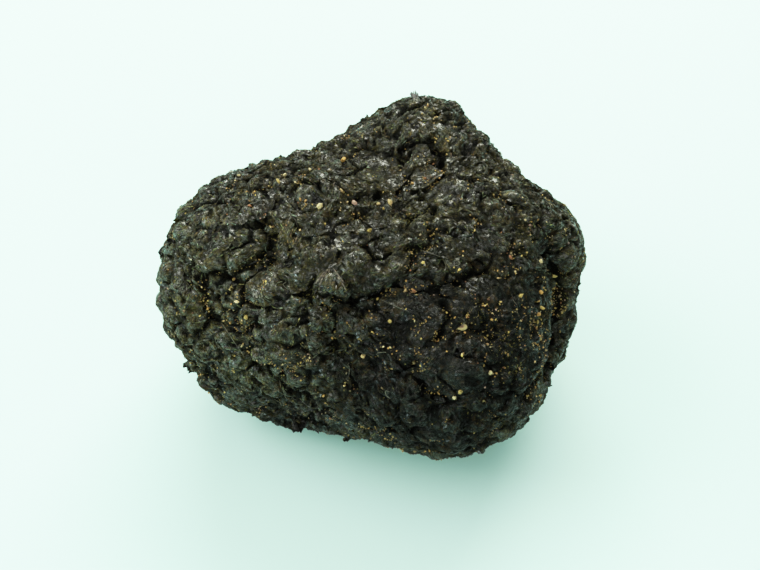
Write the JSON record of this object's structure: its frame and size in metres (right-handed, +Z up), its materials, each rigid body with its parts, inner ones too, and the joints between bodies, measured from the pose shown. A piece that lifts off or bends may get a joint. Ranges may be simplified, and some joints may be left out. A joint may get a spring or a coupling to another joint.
{
  "type": "black truffle",
  "caption": "Whole black truffle: a lumpy, one-piece fruiting body in a rind of low many-sided warts, resting on a small flat spot.",
  "frame": {"origin": "on the resting surface, under the middle of the body's bounding box", "axes": "+Z up from the flat spot; +X to the right along the body's longest way; +Y towards the peak lobe at the back"},
  "size_m": [0.0602, 0.0526, 0.0364],
  "materials": {
    "rind": "rough warty rind, near black with a brown cast, slightly moist, dusted with ochre soil grains"
  },
  "bodies": {
    "root": {"truffle": "rind"}
  },
  "joints": []
}
